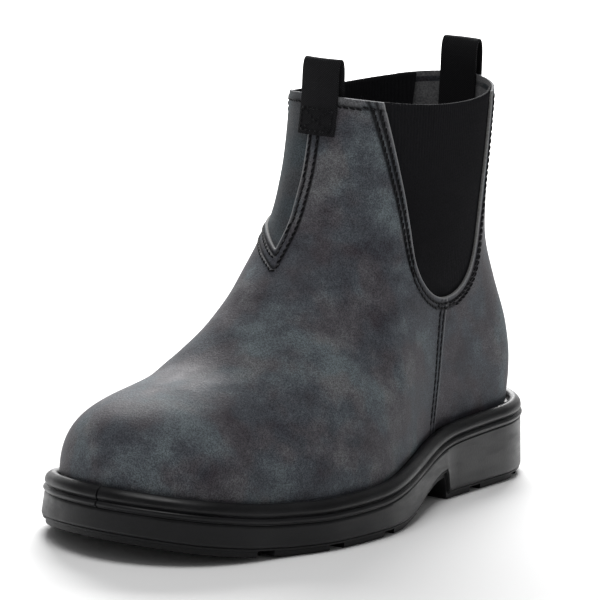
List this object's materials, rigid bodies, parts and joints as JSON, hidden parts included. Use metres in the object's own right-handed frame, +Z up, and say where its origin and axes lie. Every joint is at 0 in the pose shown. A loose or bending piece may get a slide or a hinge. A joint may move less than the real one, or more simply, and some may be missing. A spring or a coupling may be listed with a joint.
{
  "type": "side gore work boot",
  "caption": "Left ankle-high side gore work boot with a hollow nubuck upper, elastic gores, webbing pull loops and a moulded black sole with a lugged tread.",
  "frame": {"origin": "on the ground, under the middle of the boot's bounding box", "axes": "-Y towards the toe, +X towards the foot's outer side, +Z up"},
  "size_m": [0.1298, 0.3028, 0.207],
  "materials": {
    "leather": "matt waxed nubuck, charcoal with lighter clouded patches",
    "elastic": "black ribbed elastic",
    "webbing": "black woven webbing",
    "insole_cloth": "dark grey felted cloth",
    "sole_compound": "satin black moulded compound",
    "tread_rubber": "matt black tread rubber"
  },
  "bodies": {
    "root": {"upper": "leather", "gore_lateral": "elastic", "gore_medial": "elastic", "back_strap": "leather", "pull_loop_back": "webbing", "pull_loop_front": "webbing", "insole": "insole_cloth", "midsole": "sole_compound", "outsole": "tread_rubber"}
  },
  "joints": []
}
